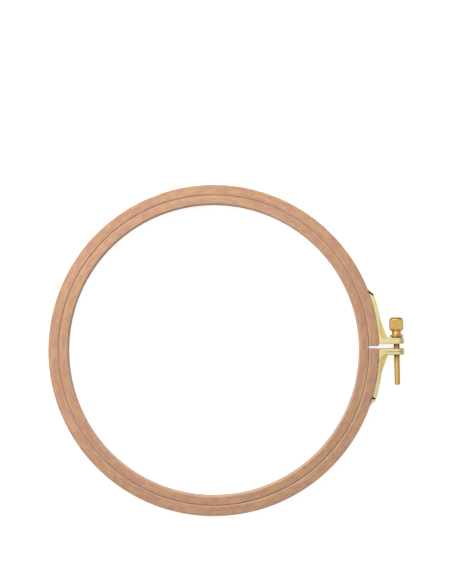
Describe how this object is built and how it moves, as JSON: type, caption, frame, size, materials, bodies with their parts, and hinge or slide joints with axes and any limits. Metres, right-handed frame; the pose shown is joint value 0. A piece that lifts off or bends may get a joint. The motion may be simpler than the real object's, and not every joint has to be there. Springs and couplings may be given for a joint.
{
  "type": "embroidery hoop",
  "caption": "Round wooden embroidery hoop: a closed inner ring inside a split outer ring, which two brass brackets and a knurled thumbscrew draw together.",
  "frame": {"origin": "centre of the rings, half-way up them", "axes": "+Z along the rings' axis, up as the hoop lies flat; +X through the split and the clamp; +Y along the screw, towards the knob"},
  "size_m": [0.1841, 0.171, 0.008],
  "materials": {
    "beech": "bare sanded beech",
    "cast_brass": "pale polished casting",
    "nail_brass": "satin",
    "turned_brass": "satin, machined"
  },
  "bodies": {
    "lower_half": {"outer_ring_lower_half": "beech", "lower_bracket": "cast_brass", "lower_bracket_nails": "nail_brass"},
    "upper_half": {"outer_ring_upper_half": "beech", "upper_bracket": "cast_brass", "upper_bracket_nails": "nail_brass"},
    "thumbscrew": {"clamp_screw": "turned_brass", "knurled_knob": "turned_brass"},
    "inner_ring": {"inner_ring": "beech"}
  },
  "joints": [
    {"name": "ring_spread", "type": "hinge", "parent": "lower_half", "child": "upper_half", "pos_m": [-0.08555, 0, 0], "axis": [0, 0, 1], "range_deg": [0, 1.27]},
    {"name": "screw_turn", "type": "hinge", "parent": "upper_half", "child": "thumbscrew", "pos_m": [0.09475, 0, 0], "axis": [0, 1, 0], "range_deg": [0, 2880]},
    {"name": "inner_ring_lift", "type": "slide", "parent": "lower_half", "child": "inner_ring", "axis": [0, 0, 1], "range_m": [0, 0.024]}
  ],
  "couplings": [
    {"joint": "screw_turn", "follows": "ring_spread", "ratio": 2265.7}
  ]
}
